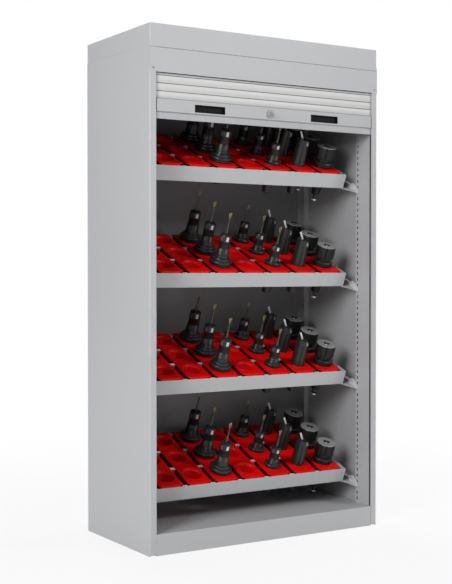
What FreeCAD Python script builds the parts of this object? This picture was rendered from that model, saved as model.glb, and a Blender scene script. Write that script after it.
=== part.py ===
import FreeCAD, Part
import math
import os

# Roll front tool cabinet: folded steel body, roll front in side guides that winds on
# a sprung drum in the header, and four sloping trays of plastic sockets with tool
# holders. Millimetres. Origin on the floor under the middle of the body.
# X runs to the right, Y to the back, Z up.

V = FreeCAD.Vector

# Body
body_width = 1056.0
body_depth = 525.0
body_height = 1950.0
sheet = 1.5
fit_gap = 0.3
overrun = 5.0
cut_depth = 60.0
corner_radius = 4.0

# Front opening
jamb_width = 27.0
jamb_return = 5.0
jamb_foot_gap = 4.0
rear_flange = 20.0
floor_top = 79.0
header_height = 176.0
cap_height = 85.0
side_above_fascia = 11.0
plinth_slit = 1.5
plinth_return = 25.0

# Top cap
cap_inset = 1.5
cap_seam = 1.2
top_flange = 12.0
top_flange_start = 155.0

# Base
skirt_height = 39.0
rib_width = 80.0
rib_height = 36.0
rib_offset = 120.0
corner_plate = 60.0
corner_plate_thickness = 3.0
foot_radius = 22.0
foot_height = 8.0
foot_stem_radius = 5.0
pad_sides = 10
hex_sides = 6
foot_nut_radius = 8.5
foot_nut_height = 8.0

# Slotted uprights
front_upright_depth = 88.0
rear_upright_depth = 51.0
slot_edge = 12.0
slot_width = 3.2
slot_height = 12.0
slot_pitch = 24.0
slot_first = 99.0
slot_top_margin = 80.0

# Guide rails and roll front
guide_mouth = 9.1
guide_wall = 1.2
guide_depth = 17.5
slat_thickness = 6.0
slat_clearance = 0.35
slat_pitch = 28.8
slat_joint_gap = 0.6
slat_crown = 2.4
slat_in_guide = 9.0
slat_cap_length = 8.0
straight_slats = 5
leader_length = 35.0

# Bottom rail
rail_side_gap = 4.0
raised_rail_drop = 143.3
rail_height = 47.8
rail_wall = 1.8
rail_edge_radius = 2.0
rail_rear_wall = 1.5
closing_strip_height = 25.7
handle_width = 132.5
handle_height = 28.5
handle_offset_share = 0.5346
handle_shift = -5.0
handle_lift = 5.7
handle_wall = 1.2
handle_depth = 10.6
end_cap_thickness = 2.0

# Lock
lock_lift = 21.9
rosette_radius = 16.0
rosette_thickness = 3.0
barrel_radius = 10.0
plug_radius = 6.5
barrel_sides = 16
running_gap = 0.05
plug_projection = 1.0
key_blade_height = 8.0
key_blade_thickness = 2.2
key_neck = 4.0
key_bow_length = 12.0
key_bow_height = 22.0
key_hole_radius = 3.5
cam_thickness = 2.0
cam_width = 12.0
cam_reach = 60.0
keeper_thickness = 3.0
keeper_margin = 10.0

# Winding drum
drum_y_behind_slats = 81.75
drum_below_top = 92.0
axle_radius = 10.0
drum_sides = 16
drum_radius = 32.0
drum_wall = 2.5
drum_setback = 10.0
drum_disc_thickness = 10.0
spring_wall = 5.0
spring_setback = 60.0
coil_growth = 8.6
coil_slat_length = 27.0
coil_slats = 53
bracket_thickness = 2.5
bracket_gap = 3.0
bracket_half_width = 45.0
bracket_foot_drop = 68.0
bracket_flange_rise = 14.0
bracket_web_rise = 26.0
cover_lip = 10.0
cover_setback = 22.5

# Fascia screws
fascia_screw_side = 14.5
fascia_screw_lift = 13.5
fascia_screw_head_radius = 4.2
fascia_screw_head = 2.2
fascia_screw_radius = 2.0
fascia_screw_length = 8.0

# Sloping trays
tray_count = 4
tray_rise_in_slots = 7
slots_over_trays = 14
tray_first_slot = 2
tray_edge_above_hook = 75.5
tray_edge_setback = 112.5
tray_side_gap = 45.0
tray_shortfall = 39.5
tray_height = 60.0
tray_sheet = 2.0
tray_side_lip = 22.0
tray_return = 15.0
cross_bar = 3.0
cross_bar_foot = 20.0
tray_margin = 3.0

# Sockets
socket_columns = 7
socket_rows = 3
socket_end_margin = 18.5
socket_column_gap = 13.0
socket_seam = 0.3
socket_rise = 9.0
socket_depth = 35.0
socket_bevel = 6.0
socket_bore_radius = 35.3
open_bore_sides = 6
open_columns = (0, 1, 3)

# Tray carriers
carrier_sheet = 2.0
carrier_gap = 0.3
carrier_nose_top = 40.0
carrier_ledge = 6.0
carrier_tab = 14.0
hook_thickness = 2.4
hook_reach = 6.0
hook_height = 10.0
hook_margin = 3.5

# Tool holders
tool_sides = 6
taper_radius = 34.9
taper_slope_share = 0.1458
short_taper_length = 92.0
long_taper_length = 122.0
seat_radius = 37.0
low_seat = 1.0
large_seat = 5.5
large_flange_radius = 45.0
large_flange_rim = 8.0
large_flange_height = 30.0
large_chuck_radius = 20.0
large_nut_radius = 21.0
large_nut_top = 131.0
small_flange_radius = 31.0
small_flange_rim = 8.0
small_flange_height = 21.0
small_chuck_radius = 20.0
small_nut_radius = 20.8
small_nut_top = 87.0
bar_thickness = 5.0
long_bar_length = 62.0
short_bar_length = 53.0
bar_under_cover_cut = 10.0
bar_tip_length = 24.0
bar_tip_width = 19.0
boring_base_radius = 27.0
boring_top_radius = 22.0
boring_height = 116.0
boring_step_depth = 36.0
insert_length = 26.0
insert_width = 10.0
insert_thickness = 5.0
insert_overhang = 16.0
mill_seat = 8.0
mill_flange_radius = 42.0
mill_flange_height = 13.0
mill_neck_radius = 29.0
mill_neck_height = 14.0
mill_head_radius = 39.7
mill_head_height = 53.0
stud_radius = 9.5
stud_length = 27.0

# Places that follow from the sizes above
half_width = body_width / 2
front = -body_depth / 2
back = body_depth / 2
opening_top = body_height - header_height
fascia_top = body_height - cap_height
side_top = fascia_top + side_above_fascia
inner_half = half_width - sheet
opening_half = half_width - jamb_width
cap_half = half_width - cap_inset
rear_inside = back - 2 * sheet
guide_front = front + jamb_return + fit_gap
guide_rear = guide_front + guide_mouth
slat_rear = guide_rear - guide_wall - slat_clearance
slat_front = slat_rear - slat_thickness
slat_half_length = opening_half + slat_in_guide
rail_half_length = opening_half - rail_side_gap
rail_front = front + fit_gap
rail_bottom = opening_top - raised_rail_drop
rail_top = rail_bottom + rail_height
handle_offset = handle_offset_share * rail_half_length
lock_height = rail_bottom + lock_lift
drum_y = slat_rear + drum_y_behind_slats
drum_height = body_height - drum_below_top
bracket_offset = slat_half_length + bracket_gap
axle_half_length = bracket_offset + bracket_thickness + sheet
drum_half_length = slat_half_length - drum_setback
spring_half_length = drum_half_length - spring_setback
upright_face = opening_half
upright_front = guide_rear + fit_gap
front_slot_y = upright_front + front_upright_depth - slot_edge
rear_slot_y = rear_inside - fit_gap - rear_upright_depth + slot_edge
slot_count = int((opening_top - slot_first - slot_top_margin) / slot_pitch) + 1
tray_spacing_in_slots = (slot_count - slots_over_trays - tray_first_slot) // (tray_count - 1)
tray_tilt = math.atan2(tray_rise_in_slots * slot_pitch, rear_slot_y - front_slot_y)
tray_front_y = front + tray_edge_setback
tray_half_length = opening_half - tray_side_gap
hook_distance = (rear_slot_y - front_slot_y) / math.cos(tray_tilt)
hook_ahead = (tray_front_y - front_slot_y) * math.cos(tray_tilt) + tray_edge_above_hook * math.sin(tray_tilt)
carrier_nose = hook_ahead + hook_margin
carrier_tail = hook_distance - hook_ahead + hook_margin
tray_depth = hook_distance - tray_shortfall
socket_column_pitch = 2 * (tray_half_length - socket_end_margin) / socket_columns
socket_row_pitch = (tray_depth - 2 * tray_margin) / socket_rows
socket_width = socket_column_pitch - socket_column_gap
socket_length = socket_row_pitch - cross_bar - 2 * socket_seam


# Shapes

def box(x0, x1, y0, y1, z0, z1):
    return Part.makeBox(x1 - x0, y1 - y0, z1 - z0, V(x0, y0, z0))


def cylinder(radius, length, base, direction):
    return Part.makeCylinder(radius, length, base, direction)


def prism(points, axis, start, end):
    """Extrude a flat outline along one axis: x takes (y, z), y takes (x, z), z takes (x, y)."""
    place = {"x": lambda a, b: V(start, a, b),
             "y": lambda a, b: V(a, start, b),
             "z": lambda a, b: V(a, b, start)}[axis]
    along = {"x": V(1, 0, 0), "y": V(0, 1, 0), "z": V(0, 0, 1)}[axis] * (end - start)
    corners = [place(a, b) for a, b in points]
    face = Part.Face(Part.makePolygon(corners + corners[:1]))
    return face.extrude(along)


def folded(points, thickness):
    """Outline of a folded sheet: its outer side is given, the sheet lies on its left."""
    lines = []
    for (ax, ay), (bx, by) in zip(points, points[1:]):
        length = math.hypot(bx - ax, by - ay)
        ux, uy = (bx - ax) / length, (by - ay) / length
        lines.append(((ax - uy * thickness, ay + ux * thickness), (ux, uy)))
    inner = [lines[0][0]]
    for ((px, py), (ux, uy)), ((qx, qy), (vx, vy)) in zip(lines, lines[1:]):
        cross = ux * vy - uy * vx
        step = ((qx - px) * vy - (qy - py) * vx) / cross
        inner.append((px + ux * step, py + uy * step))
    (ux, uy), (ex, ey) = lines[-1][1], points[-1]
    inner.append((ex - uy * thickness, ey + ux * thickness))
    return list(points) + inner[::-1]


def fuse(shapes):
    whole = shapes[0]
    if len(shapes) > 1:
        whole = whole.fuse(shapes[1:])
    return whole.removeSplitter()


def mirrored(shape):
    return shape.mirror(V(0, 0, 0), V(1, 0, 0))


def upright_edges(shape, x, y):
    """Edges parallel to Z that pass through x, y."""
    found = []
    for edge in shape.Edges:
        ends = [vertex.Point for vertex in edge.Vertexes]
        if len(ends) == 2 and all(math.hypot(p.x - x, p.y - y) < fit_gap for p in ends):
            found.append(edge)
    return found


def turned(profile, sides):
    """Turned piece with flats, about the Z axis, from (radius, height) pairs."""
    rings = []
    for radius, height in profile:
        ring = [V(radius * math.cos(2 * math.pi * k / sides),
                  radius * math.sin(2 * math.pi * k / sides), height) for k in range(sides)]
        rings.append(ring)
    faces = []
    for low, high in zip(rings, rings[1:]):
        for k in range(sides):
            n = (k + 1) % sides
            corners = [low[k], low[n], high[n], high[k]]
            faces.append(Part.Face(Part.makePolygon(corners + corners[:1])))
    for ring in (rings[0], rings[-1]):
        faces.append(Part.Face(Part.makePolygon(ring + ring[:1])))
    solid = Part.Solid(Part.makeShell(faces))
    solid.fix(fit_gap, 0, 0)
    return solid if solid.Volume > 0 else solid.reversed()


def aimed(shape, base, direction):
    """Turn a shape that stands on the origin along Z to another direction, and move it."""
    turn = FreeCAD.Placement(base, FreeCAD.Rotation(V(0, 0, 1), direction))
    return shape.transformed(turn.toMatrix(), copy=True)


def rod(radius, length, base, direction, sides):
    """Rod with flats whose corners lie on the radius."""
    return aimed(turned([(radius, 0), (radius, length)], sides), base, direction)


def hole(radius, length, base, direction, sides):
    """Cutter with flats that lie on the radius, so that a rod of that radius passes."""
    return rod(radius / math.cos(math.pi / sides), length, base, direction, sides)


def save(name, shapes):
    solids = [solid for shape in shapes for solid in shape.Solids]
    for solid in solids:
        if not solid.isValid() or solid.Volume <= 0:
            print("bad solid in", name)
    Part.makeCompound(solids).exportStep(os.path.join("parts", name + ".step"))
    print(name, len(solids))


# Cabinet body

def side_panel():
    """Right side: wall, front jamb with its return, rear flange, recess for the fascia."""
    jamb = folded([(opening_half, front + jamb_return), (opening_half, front), (half_width, front),
                   (half_width, back), (half_width - rear_flange, back)], sheet)
    lower = prism(jamb, "z", 0, opening_top)
    lower = lower.makeFillet(corner_radius, upright_edges(lower, half_width, front))
    recess_front = front + sheet
    upper = folded([(opening_half, recess_front), (half_width, recess_front), (half_width, back),
                    (half_width - rear_flange, back)], sheet)
    panel = fuse([lower, prism(upper, "z", opening_top - 2 * sheet, side_top)])
    foot = box(opening_half - overrun, inner_half, front - overrun, front + jamb_return + overrun,
               -overrun, jamb_foot_gap)
    ledge = box(half_width - top_flange, half_width - sheet / 2, front + top_flange_start,
                rear_inside - top_flange - fit_gap, side_top - sheet, side_top)
    screw = hole(fascia_screw_radius, 4 * sheet + overrun,
                 V(half_width - fascia_screw_side, front - overrun, opening_top + fascia_screw_lift),
                 V(0, 1, 0), hex_sides)
    return fuse([panel.cut([foot, screw]), ledge])


def back_panel():
    """Flat back with a stiffening fold along its top."""
    outline = folded([(rear_inside - top_flange, side_top - fit_gap),
                      (rear_inside + sheet, side_top - fit_gap),
                      (rear_inside + sheet, floor_top - skirt_height)], -sheet)
    return prism(outline, "x", -(inner_half - fit_gap), inner_half - fit_gap)


def top_cap():
    """Lid pressed over the header, with a deeper skirt at the front."""
    outer = box(-cap_half, cap_half, front, back, fascia_top, body_height)
    edges = [edge for x in (-cap_half, cap_half) for edge in upright_edges(outer, x, front)]
    outer = outer.makeFillet(corner_radius, edges)
    hollow = box(-cap_half + sheet, cap_half - sheet, front + sheet, back - sheet,
                 fascia_top - overrun, body_height - sheet)
    skirt_cut = box(-half_width - overrun, half_width + overrun, front + 2 * sheet + fit_gap,
                    back + overrun, fascia_top - overrun, side_top)
    corner_cut = box(cap_half - 2 * sheet, half_width + overrun, front - overrun,
                     front + 2 * sheet + 2 * fit_gap, fascia_top - overrun, side_top)
    cap = outer.cut([hollow, skirt_cut, corner_cut, mirrored(corner_cut)])
    ledge = box(cap_half - top_flange, cap_half - sheet / 2, front + top_flange_start, back - sheet / 2,
                side_top, side_top + sheet)
    front_lip = box(-opening_half, opening_half, front + sheet / 2, front + jamb_return,
                    fascia_top, fascia_top + sheet)
    return fuse([cap, ledge, mirrored(ledge), front_lip])


def header_fascia():
    """Front plate of the header, full width, folded back along its two long edges."""
    top = fascia_top - cap_seam
    plate = box(-half_width, half_width, front, front + sheet, opening_top, top)
    fold = folded([(front + jamb_return, top), (front, top), (front, opening_top),
                   (front + jamb_return, opening_top)], sheet)
    holes = [hole(fascia_screw_radius + fit_gap, sheet + 2 * overrun,
                  V(side * (half_width - fascia_screw_side), front - overrun,
                    opening_top + fascia_screw_lift), V(0, 1, 0), hex_sides) for side in (-1, 1)]
    return fuse([plate, prism(fold, "x", -opening_half, opening_half)]).cut(holes)


def fascia_screws():
    screws = []
    for side in (-1, 1):
        seat = V(side * (half_width - fascia_screw_side), front, opening_top + fascia_screw_lift)
        head = rod(fascia_screw_head_radius, fascia_screw_head, seat, V(0, -1, 0), pad_sides)
        shank = rod(fascia_screw_radius - running_gap, fascia_screw_length, seat, V(0, 1, 0), hex_sides)
        screws.append(fuse([head, shank]))
    return screws


def drum_cover():
    """Ceiling of the tool space, under the wound roll front."""
    lip = front + cover_setback
    level = opening_top + fit_gap
    outline = folded([(rear_inside - fit_gap, level), (lip, level), (lip, level + cover_lip)][::-1], sheet)
    return prism(outline, "x", -(inner_half - fit_gap), inner_half - fit_gap)


def floor_pan():
    """Floor and plinth folded from one sheet, with wings that run under the uprights."""
    reach = opening_half - plinth_slit
    fold = folded([(rear_inside - fit_gap, floor_top - skirt_height), (rear_inside - fit_gap, floor_top),
                   (front, floor_top), (front, 0), (front + plinth_return, 0)], sheet)
    pan = prism(fold, "x", -reach, reach)
    wing = folded([(inner_half - fit_gap, floor_top - skirt_height), (inner_half - fit_gap, floor_top),
                   (reach - overrun, floor_top)], sheet)
    wing = prism(wing, "y", guide_front, rear_inside - fit_gap)
    pan = fuse([pan, wing, mirrored(wing)])
    return pan.cut(keeper_slot(floor_top - sheet - overrun, floor_top + overrun))


def keeper_slot(low, high):
    """Slot that the lock's cam swings down through when the front is shut."""
    clear = 2 * slat_clearance
    drop = lock_height - (rail_bottom - closing_strip_height)
    swing = math.sqrt(cam_reach ** 2 - drop ** 2)
    return box(-cam_width / 2 - clear, swing + cam_width, slat_rear - 2 * slat_clearance,
               slat_rear + cam_thickness + 3 * clear, low, high)


def keeper_plate():
    low = floor_top - sheet - keeper_thickness
    slot = keeper_slot(low - overrun, floor_top)
    reach = slot.BoundBox
    plate = box(reach.XMin - keeper_margin, reach.XMax + keeper_margin, reach.YMin - keeper_margin / 2,
                reach.YMax + keeper_margin, low, low + keeper_thickness)
    return plate.cut(slot)


def floor_ribs():
    """Two hat sections under the floor, front to back."""
    top = floor_top - sheet
    half = rib_width / 2
    brim = rib_width / 4
    hat = folded([(half + brim, top - sheet), (half, top - sheet), (half, top - rib_height),
                  (-half, top - rib_height), (-half, top - sheet), (-half - brim, top - sheet)], -sheet)
    rib = prism(hat, "y", front + plinth_return + overrun, rear_inside - plinth_return)
    shift = half_width - rib_offset - rib_width
    return [rib.translated(V(shift, 0, 0)), rib.translated(V(-shift, 0, 0))]


def base_corner(side_x, side_y):
    """Angle plate in one bottom corner that a levelling foot screws into."""
    outer = inner_half - fit_gap
    inner = outer - corner_plate
    wall_y = front + plinth_return + overrun if side_y < 0 else rear_inside - fit_gap
    near, far = sorted((wall_y, wall_y - side_y * corner_plate))
    level = floor_top - skirt_height - fit_gap
    plate = box(inner, outer, near, far, level - corner_plate_thickness, level)
    low = level - corner_plate_thickness - corner_plate / 4
    wall = box(outer - corner_plate_thickness, outer, near, far, low, level)
    middle = V((inner + outer) / 2, (near + far) / 2, 0)
    thread = hole(foot_stem_radius + running_gap, level + overrun, middle, V(0, 0, 1), hex_sides)
    shape = fuse([plate, wall]).cut(thread)
    foot = levelling_foot(middle, level - corner_plate_thickness)
    if side_x < 0:
        return mirrored(shape), mirrored(foot)
    return shape, foot


def levelling_foot(base, plate_level):
    """Pad, stem and lock nut."""
    pad = turned([(foot_radius, 0), (foot_radius - foot_height / 2, foot_height)], pad_sides)
    nut_top = plate_level - running_gap
    nut_low = nut_top - foot_nut_height
    stem = turned([(foot_stem_radius, foot_height / 2), (foot_stem_radius, nut_low),
                   (foot_nut_radius, nut_low), (foot_nut_radius, nut_top), (foot_stem_radius, nut_top),
                   (foot_stem_radius, plate_level + 2 * corner_plate_thickness)], hex_sides)
    return fuse([pad, stem]).translated(base)


def slot_level(number):
    return slot_first + slot_pitch * number


def upright(y0, y1, slot_y, levels):
    """Channel behind the jamb, open to the side wall, with a row of slots in its web."""
    outline = folded([(inner_half - fit_gap, y1), (upright_face, y1), (upright_face, y0),
                      (inner_half - fit_gap, y0)], sheet)
    post = prism(outline, "z", floor_top, opening_top)
    slots = [box(upright_face - overrun, upright_face + sheet + overrun, slot_y - slot_width / 2,
                 slot_y + slot_width / 2, level - slot_height / 2, level + slot_height / 2)
             for level in levels]
    return post.cut(Part.makeCompound(slots))


def used_levels(rise):
    """Levels of the slots that carry the trays, raised by a number of slots."""
    return [slot_level(tray_slot(k) + rise) for k in range(tray_count)]


def front_upright(levels):
    return upright(upright_front, upright_front + front_upright_depth, front_slot_y, levels)


def rear_upright():
    rear = rear_inside - fit_gap
    return upright(rear - rear_upright_depth, rear, rear_slot_y, used_levels(tray_rise_in_slots))


def guide_rail():
    """Plastic channel in the gap between jamb and upright; the slats run in it."""
    depth = upright_face + sheet + guide_depth
    outline = folded([(opening_half + sheet + fit_gap, guide_front), (depth, guide_front),
                      (depth, guide_rear), (opening_half + sheet + fit_gap, guide_rear)], guide_wall)
    return prism(outline, "z", floor_top, opening_top)


# Winding drum in the header

def drum_bracket():
    """Bracket on the side wall that holds one end of the axle."""
    low = drum_height - bracket_foot_drop
    reach = inner_half - fit_gap
    outline = folded([(reach, drum_y + bracket_half_width), (bracket_offset, drum_y + bracket_half_width),
                      (bracket_offset, drum_y - bracket_half_width), (reach, drum_y - bracket_half_width)],
                     bracket_thickness)
    channel = prism(outline, "z", low, drum_height + bracket_flange_rise)
    tongue = box(bracket_offset, bracket_offset + bracket_thickness, drum_y - bracket_half_width,
                 drum_y + bracket_half_width, drum_height, drum_height + bracket_web_rise)
    seat = hole(axle_radius + running_gap, bracket_thickness + 2 * overrun,
                V(bracket_offset - overrun, drum_y, drum_height), V(1, 0, 0), drum_sides)
    return fuse([channel, tongue]).cut(seat)


def tube(outer, inner, half_length, centre_x=0.0):
    """Tube about the drum's axis, with flats outside and in its bore."""
    base = V(centre_x - half_length, drum_y, drum_height)
    along = V(1, 0, 0)
    bore = hole(inner, 2 * half_length + 2 * overrun, base - V(overrun, 0, 0), along, drum_sides)
    return rod(outer, 2 * half_length, base, along, drum_sides).cut(bore)


def drum_axle():
    return cylinder(axle_radius, 2 * axle_half_length, V(-axle_half_length, drum_y, drum_height), V(1, 0, 0))


def torsion_spring():
    return tube(axle_radius + fit_gap + spring_wall, axle_radius + fit_gap, spring_half_length)


def drum_discs():
    centre = drum_half_length - drum_disc_thickness
    return [tube(drum_radius - drum_wall - running_gap, axle_radius + running_gap,
                 drum_disc_thickness / 2, side * centre) for side in (-1, 1)]


def coil_places():
    """Angle and radius of each wound slat, one chord after the other along a spiral."""
    places = []
    angle = 0.0
    start = drum_radius + slat_thickness / 2 + fit_gap
    for _ in range(coil_slats):
        radius = start + coil_growth * angle / (2 * math.pi)
        places.append((angle, radius))
        angle += 2 * math.atan(slat_pitch / 2 / radius)
    return places


def wound_slats():
    slats = []
    places = coil_places()
    last_angle = places[-1][0]
    for angle, radius in places:
        slat = box(-slat_half_length, slat_half_length, -radius - slat_thickness / 2,
                   -radius + slat_thickness / 2, -coil_slat_length / 2, coil_slat_length / 2)
        slat.rotate(V(0, 0, 0), V(1, 0, 0), math.degrees(angle - last_angle))
        slats.append(slat.translated(V(0, drum_y, drum_height)))
    return slats


# Roll front

def slat_outline(low, height):
    """Section of one slat: flat at the rear, crowned at the front."""
    shoulder = slat_front + slat_crown
    top, middle = low + height, low + height / 2
    corners = [V(0, shoulder, low), V(0, slat_rear, low), V(0, slat_rear, top), V(0, shoulder, top)]
    edges = [Part.makeLine(a, b) for a, b in zip(corners, corners[1:])]
    edges.append(Part.Arc(corners[3], V(0, slat_front, middle), corners[0]).toShape())
    return Part.Face(Part.Wire(edges))


def slat(low, height, half_length):
    face = slat_outline(low, height)
    return face.translated(V(-half_length, 0, 0)).extrude(V(2 * half_length, 0, 0))


def straight_slat_levels():
    return [rail_top + slat_joint_gap / 2 + slat_pitch * k for k in range(straight_slats)]


def roll_slats():
    return [slat(low, slat_pitch - slat_joint_gap, slat_half_length - slat_cap_length)
            for low in straight_slat_levels()]


def slat_end_caps():
    caps = []
    for low in straight_slat_levels():
        for side in (-1, 1):
            x0, x1 = sorted((side * (slat_half_length - slat_cap_length), side * slat_half_length))
            caps.append(box(x0, x1, slat_front, slat_rear, low, low + slat_pitch - slat_joint_gap))
    return caps


def leader_slats():
    low = rail_top + slat_pitch * straight_slats
    return slat(low, leader_length, slat_half_length)


def handle_centres():
    return [side * handle_offset + handle_shift for side in (-1, 1)]


def bottom_rail():
    """Folded bottom rail with windows for the grips and a rear plate that runs in the guides."""
    fold = folded([(slat_rear, rail_top), (rail_front, rail_top), (rail_front, rail_bottom),
                   (slat_rear, rail_bottom)], rail_wall)
    rail = prism(fold, "x", -rail_half_length, rail_half_length)
    long_edges = [edge for edge in rail.Edges if edge.Length > rail_half_length
                  and abs(edge.CenterOfMass.y - rail_front) < running_gap]
    rail = rail.makeFillet(rail_edge_radius, long_edges)
    plate = box(-slat_half_length, slat_half_length, slat_rear - rail_rear_wall, slat_rear,
                rail_bottom, rail_top)
    rail = fuse([rail, plate])
    windows = [box(centre - handle_width / 2, centre + handle_width / 2,
                   rail_front - overrun, rail_front + rail_wall + overrun,
                   rail_bottom + handle_lift, rail_bottom + handle_lift + handle_height)
               for centre in handle_centres()]
    bore = hole(barrel_radius + running_gap, slat_thickness + cut_depth,
                V(0, rail_front - overrun, lock_height), V(0, 1, 0), barrel_sides)
    return rail.cut(windows + [bore])


def handle_cups():
    cups = []
    for centre in handle_centres():
        x0 = centre - handle_width / 2 + running_gap
        x1 = centre + handle_width / 2 - running_gap
        z0 = rail_bottom + handle_lift + running_gap
        z1 = rail_bottom + handle_lift + handle_height - running_gap
        shell = box(x0, x1, rail_front, rail_front + handle_depth, z0, z1)
        hollow = box(x0 + handle_wall, x1 - handle_wall, rail_front - overrun,
                     rail_front + handle_depth - handle_wall, z0 + handle_wall, z1 - handle_wall)
        cups.append(shell.cut(hollow))
    return cups


def rail_end_caps():
    low, high = rail_bottom, rail_top
    return [box(*sorted((side * rail_half_length, side * (rail_half_length + end_cap_thickness))),
                rail_front, slat_rear - rail_rear_wall, low, high) for side in (-1, 1)]


def closing_strip():
    low = rail_bottom - closing_strip_height
    return box(-slat_half_length, slat_half_length, slat_front, slat_rear, low, rail_bottom)


# Lock

def lock_barrel():
    """Rosette in front of the rail and a barrel through it, bored for the plug."""
    deep = slat_rear - rail_front
    shell = turned([(barrel_radius, -deep), (barrel_radius, 0), (rosette_radius, 0),
                    (rosette_radius - rosette_thickness / 2, rosette_thickness)], barrel_sides)
    base = V(0, rail_front, lock_height)
    bore = hole(plug_radius + running_gap, cut_depth, base + V(0, cut_depth / 2, 0), V(0, -1, 0),
                barrel_sides)
    return aimed(shell, base, V(0, -1, 0)).cut(bore)


def lock_plug():
    start = slat_rear + slat_clearance
    nose = rail_front - rosette_thickness - plug_projection
    return rod(plug_radius, start - nose, V(0, start, lock_height), V(0, -1, 0), barrel_sides)


def lock_key():
    """Flat key: blade end against the plug, neck and a bow with a hole."""
    root = rail_front - rosette_thickness - plug_projection
    half, bow = key_blade_height / 2, key_bow_height / 2
    neck = root - key_neck
    tip = neck - key_bow_length
    chamfer = key_bow_length / 4
    outline = [(root, -half), (root, half), (neck, half), (neck, bow - chamfer), (neck - chamfer, bow),
               (tip + chamfer, bow), (tip, bow - chamfer), (tip, -bow + chamfer), (tip + chamfer, -bow),
               (neck - chamfer, -bow), (neck, -bow + chamfer), (neck, -half)]
    placed = [(y, z + lock_height) for y, z in outline]
    thick = key_blade_thickness / 2
    eye = hole(key_hole_radius, cut_depth, V(-cut_depth / 2, (neck + tip) / 2, lock_height), V(1, 0, 0),
               pad_sides)
    return prism(placed, "x", -thick, thick).cut(eye)


def lock_cam():
    """Cam behind the rail. It lies sideways when open and turns down to lock."""
    near = slat_rear + slat_clearance
    half = cam_width / 2
    arm = box(-half, cam_reach - half, near, near + cam_thickness, lock_height - half, lock_height + half)
    nose = rod(half, cam_thickness, V(cam_reach - half, near, lock_height), V(0, 1, 0), barrel_sides)
    return fuse([arm, nose])


# Trays and sockets, modelled level with the front top edge of the apron at the origin

def tray_slot(k):
    return tray_first_slot + tray_spacing_in_slots * (tray_count - 1 - k)


def on_tray(shape, k):
    """Tilt a level shape and put it on tray k; trays are counted from the top."""
    level = slot_level(tray_slot(k)) + tray_edge_above_hook
    moved = shape.copy()
    moved.rotate(V(0, 0, 0), V(1, 0, 0), math.degrees(tray_tilt))
    return moved.translated(V(0, tray_front_y, level))


def on_all_trays(shapes):
    return [on_tray(shape, k) for k in range(tray_count) for shape in shapes]


def tray_frame():
    """Apron, sides and rear of one tray with lips, ledges and two cross bars."""
    low, t = -tray_height, tray_sheet
    length, depth = tray_half_length, tray_depth
    walls = box(-length, length, 0, depth, low, 0)
    walls = walls.cut(box(-length + t, length - t, t, depth - t, low - overrun, overrun))
    lips = [box(side * length - (side > 0) * tray_side_lip, side * length + (side < 0) * tray_side_lip,
                t / 2, depth - t / 2, -t, 0) for side in (-1, 1)]
    returns = [box(-length + t / 2, length - t / 2, t / 2, tray_return, low, low + t),
               box(-length + t / 2, length - t / 2, depth - tray_return, depth - t / 2, low, low + t)]
    seat = -socket_depth
    ledges = [box(-length + t / 2, length - t / 2, t / 2, tray_margin + cross_bar_foot / 2, seat - t, seat),
              box(-length + t / 2, length - t / 2, depth - tray_margin - cross_bar_foot / 2, depth - t / 2,
                  seat - t, seat)]
    bars = []
    for row in range(1, socket_rows):
        middle = tray_margin + row * socket_row_pitch
        bars.append(box(-length + t / 2, length - t / 2, middle - cross_bar / 2, middle + cross_bar / 2,
                        seat - t, -running_gap))
        bars.append(box(-length + t / 2, length - t / 2, middle - cross_bar_foot / 2,
                        middle + cross_bar_foot / 2, seat - t, seat))
    return fuse([walls] + lips + returns + ledges + bars)


def socket_centre(column, row):
    return V((column - (socket_columns - 1) / 2) * socket_column_pitch,
             tray_margin + (row + 1 / 2) * socket_row_pitch, 0)


def plain_block():
    half_x, half_y = socket_width / 2, socket_length / 2
    return box(-half_x, half_x, -half_y, half_y, -socket_depth, socket_rise)


def bevelled_block():
    """Plastic socket with a bevelled top, standing on the cross bar feet."""
    block = plain_block()
    top = [edge for edge in block.Edges
           if all(abs(vertex.Point.z - socket_rise) < running_gap for vertex in edge.Vertexes)]
    return block.makeChamfer(socket_bevel, top)


def open_socket(row):
    """Open socket; the bores of the front row are round, the others have flats."""
    base, length = V(0, 0, -socket_depth - overrun), socket_depth + socket_rise + 2 * overrun
    if row == 0:
        return bevelled_block().cut(cylinder(socket_bore_radius, length, base, V(0, 0, 1)))
    return bevelled_block().cut(hole(socket_bore_radius, length, base, V(0, 0, 1), open_bore_sides))


def filled_socket():
    """Plain socket under a tool holder, whose seat hides the bore."""
    bore = rod(socket_bore_radius, socket_depth + socket_rise + 2 * overrun,
               V(0, 0, -socket_depth - overrun), V(0, 0, 1), tool_sides)
    return plain_block().cut(bore)


def at_sockets(shape, columns):
    return [shape.translated(socket_centre(column, row)) for column in columns for row in range(socket_rows)]


def filled_columns():
    return [column for column in range(socket_columns) if column not in open_columns]


def tray_carrier():
    """Right carrier: a floor under the tray's end, a sloping web and a hooked edge."""
    t = carrier_sheet
    edge = upright_face - carrier_gap
    low = -tray_height
    floor = prism([(tray_half_length - carrier_ledge, t), (tray_half_length, 0), (edge, -carrier_nose),
                   (edge, carrier_tail), (tray_half_length - carrier_ledge, carrier_tail)],
                  "z", low - t, low)
    inner = tray_half_length + carrier_gap
    corners = [V(inner, 0, 0), V(edge, -carrier_nose_top, low + carrier_tab),
               V(edge, carrier_tail, low + carrier_tab), V(inner, carrier_tail, 0)]
    across = (corners[1] - corners[0]).cross(corners[2] - corners[1]).normalize()
    web = Part.Face(Part.makePolygon(corners + corners[:1])).extrude(across * -t)
    trim = box(inner, edge, -carrier_nose - overrun, carrier_tail + overrun, low, 0)
    tab = box(edge - t, edge, -carrier_nose, carrier_tail, low - t, low + carrier_tab)
    return fuse([floor, web.common(trim), tab])


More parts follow.
